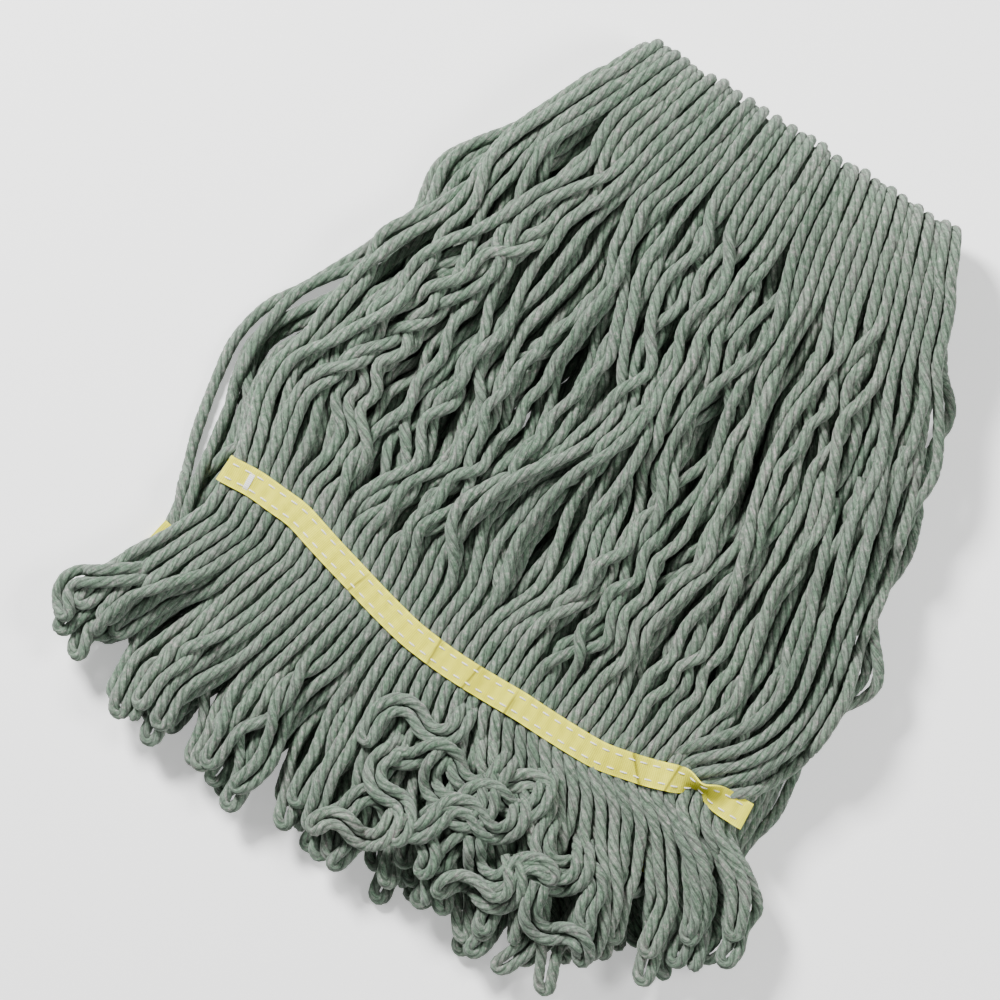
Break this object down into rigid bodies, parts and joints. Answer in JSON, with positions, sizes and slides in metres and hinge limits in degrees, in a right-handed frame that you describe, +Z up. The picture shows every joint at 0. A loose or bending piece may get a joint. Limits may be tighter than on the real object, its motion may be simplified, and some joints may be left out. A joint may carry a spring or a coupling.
{
  "type": "string mop head",
  "caption": "Looped-end wet mop head of green-grey twisted yarn, folded over its headband, with a pale yellow stitched tailband across each half and a fringe of yarn loops.",
  "frame": {"origin": "centre of the folded head's outline, on the surface that it lies on", "axes": "+Z up, away from the surface that the head lies on; +Y towards the fold, with the loops at -Y; +X along the fold"},
  "size_m": [0.3524, 0.397, 0.044],
  "materials": {
    "yarn": "soft twisted four-ply yarn, heather green-grey",
    "tailband": "woven polyester tape, pale yellow",
    "headband": "woven cotton tape, off-white",
    "thread": "sewing thread, off-white"
  },
  "bodies": {
    "lower_half": {"lower_hank_01": "yarn", "lower_hank_02": "yarn", "lower_hank_03": "yarn", "lower_hank_04": "yarn", "lower_hank_05": "yarn", "lower_hank_06": "yarn", "lower_hank_07": "yarn", "lower_hank_08": "yarn", "lower_hank_09": "yarn", "lower_hank_10": "yarn", "lower_hank_11": "yarn", "lower_hank_12": "yarn", "fold_hank_01": "yarn", "fold_hank_02": "yarn", "fold_hank_03": "yarn", "fold_hank_04": "yarn", "fold_hank_05": "yarn", "fold_hank_06": "yarn", "fold_hank_07": "yarn", "fold_hank_08": "yarn", "fold_hank_09": "yarn", "fold_hank_10": "yarn", "fold_hank_11": "yarn", "fold_hank_12": "yarn", "headband_fold": "headband", "lower_headband_leaf": "headband", "lower_tailband_outer": "tailband", "lower_tailband_inner": "tailband", "lower_headband_stitches": "thread", "lower_outer_stitches": "thread", "lower_inner_stitches": "thread"},
    "upper_half": {"upper_hank_01": "yarn", "upper_hank_02": "yarn", "upper_hank_03": "yarn", "upper_hank_04": "yarn", "upper_hank_05": "yarn", "upper_hank_06": "yarn", "upper_hank_07": "yarn", "upper_hank_08": "yarn", "upper_hank_09": "yarn", "upper_hank_10": "yarn", "upper_hank_11": "yarn", "upper_hank_12": "yarn", "upper_headband_leaf": "headband", "upper_tailband_outer": "tailband", "upper_tailband_inner": "tailband", "upper_headband_stitches": "thread", "upper_outer_stitches": "thread", "upper_inner_stitches": "thread"}
  },
  "joints": [
    {"name": "head_fold", "type": "hinge", "parent": "lower_half", "child": "upper_half", "pos_m": [0, 0.1765, 0.022], "axis": [-1, 0, 0], "range_deg": [0, 180], "deforming": ["fold_hank_01", "fold_hank_02", "fold_hank_03", "fold_hank_04", "fold_hank_05", "fold_hank_06", "fold_hank_07", "fold_hank_08", "fold_hank_09", "fold_hank_10", "fold_hank_11", "fold_hank_12", "headband_fold"]}
  ]
}
